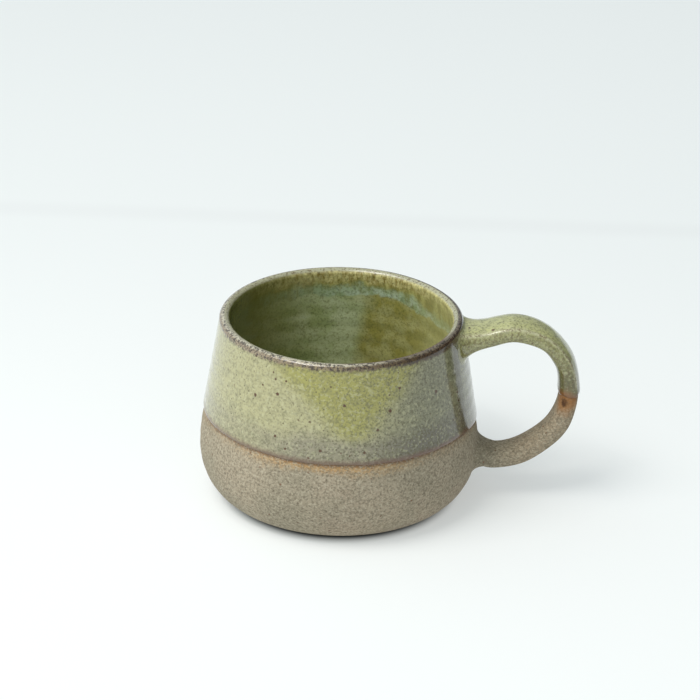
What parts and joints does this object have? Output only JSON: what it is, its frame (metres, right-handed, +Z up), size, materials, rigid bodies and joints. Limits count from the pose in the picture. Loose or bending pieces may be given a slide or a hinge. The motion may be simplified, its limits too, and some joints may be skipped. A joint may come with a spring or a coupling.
{
  "type": "ceramic mug",
  "caption": "Low round-bellied stoneware mug with a pulled strap handle, glossy speckled green glaze over the upper half and inside, and a bare clay belly and foot.",
  "frame": {"origin": "centre of the foot ring, on the plane that the mug rests on", "axes": "+Z up along the axis that the cup was thrown on, +X towards the handle, which is symmetric about the XZ plane"},
  "size_m": [0.1301, 0.096, 0.0659],
  "materials": {
    "bare_clay": "matte",
    "outer_glaze": "gloss",
    "liner_glaze": "gloss"
  },
  "bodies": {
    "root": {"vessel": "bare_clay", "handle": "bare_clay", "upper_joint": "bare_clay", "lower_joint": "bare_clay", "outer_glaze": "outer_glaze", "liner_glaze": "liner_glaze", "handle_glaze": "outer_glaze"}
  },
  "joints": []
}
